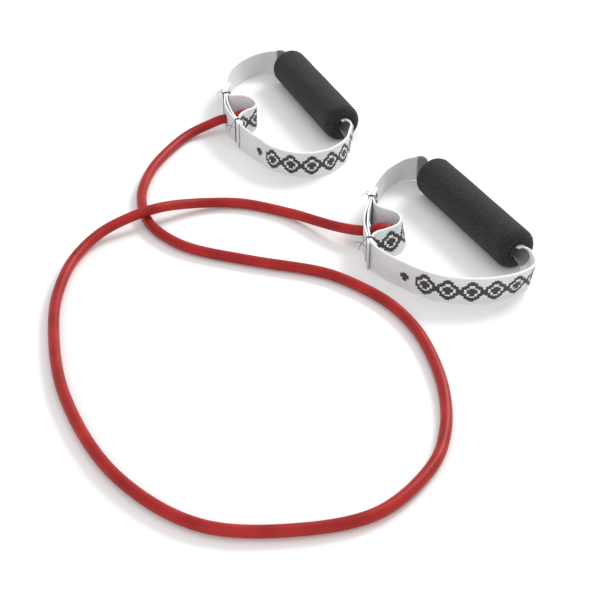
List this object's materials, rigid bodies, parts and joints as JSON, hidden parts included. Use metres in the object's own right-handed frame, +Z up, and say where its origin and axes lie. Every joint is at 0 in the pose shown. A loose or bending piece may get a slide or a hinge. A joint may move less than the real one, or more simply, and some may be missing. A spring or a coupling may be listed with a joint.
{
  "type": "resistance band",
  "caption": "Rubber exercise tube with a stopped end in a webbing strap and a round foam grip at each end.",
  "frame": {"origin": "bottom centre of the box round the two handles, on the surface the band lies on; the tube is not counted", "axes": "+Z up from the surface; +Y from the near handle to the far one, along the longer side of the box round them; the tube's loop lies towards -Y"},
  "size_m": [0.3679, 0.6298, 0.034],
  "materials": {
    "rubber": "satin, slightly translucent",
    "plug": "matte",
    "webbing": "woven",
    "thread": "matte",
    "foam": "fine closed-cell foam",
    "core": "smooth",
    "steel": "plated"
  },
  "bodies": {
    "tube": {"tubing": "rubber", "left_stop_plug": "plug", "right_stop_plug": "plug"},
    "left_handle": {"left_strap": "webbing", "left_upper_seam": "thread", "left_lower_seam": "thread", "left_eyelet": "steel", "left_eyelet_washer": "steel"},
    "left_grip": {"left_foam_grip": "foam", "left_core_tube": "core"},
    "right_handle": {"right_strap": "webbing", "right_upper_seam": "thread", "right_lower_seam": "thread", "right_eyelet": "steel", "right_eyelet_washer": "steel"},
    "right_grip": {"right_foam_grip": "foam", "right_core_tube": "core"}
  },
  "joints": [
    {"name": "left_swivel", "type": "hinge", "parent": "tube", "child": "left_handle", "pos_m": [-0.1182, 0.0785, 0.0125], "axis": [0.9703, 0.2419, 0], "continuous": true},
    {"name": "left_grip_spin", "type": "hinge", "parent": "left_handle", "child": "left_grip", "pos_m": [-0.0409, 0.1186, 0.017], "axis": [0.3811, -0.9245, 0], "continuous": true},
    {"name": "right_swivel", "type": "hinge", "parent": "tube", "child": "right_handle", "pos_m": [-0.002, -0.1084, 0.0125], "axis": [0.9976, -0.0698, 0], "range_deg": [-150, 150]},
    {"name": "right_grip_spin", "type": "hinge", "parent": "right_handle", "child": "right_grip", "pos_m": [0.0837, -0.0862, 0.017], "axis": [0.4352, -0.9003, 0], "continuous": true}
  ]
}
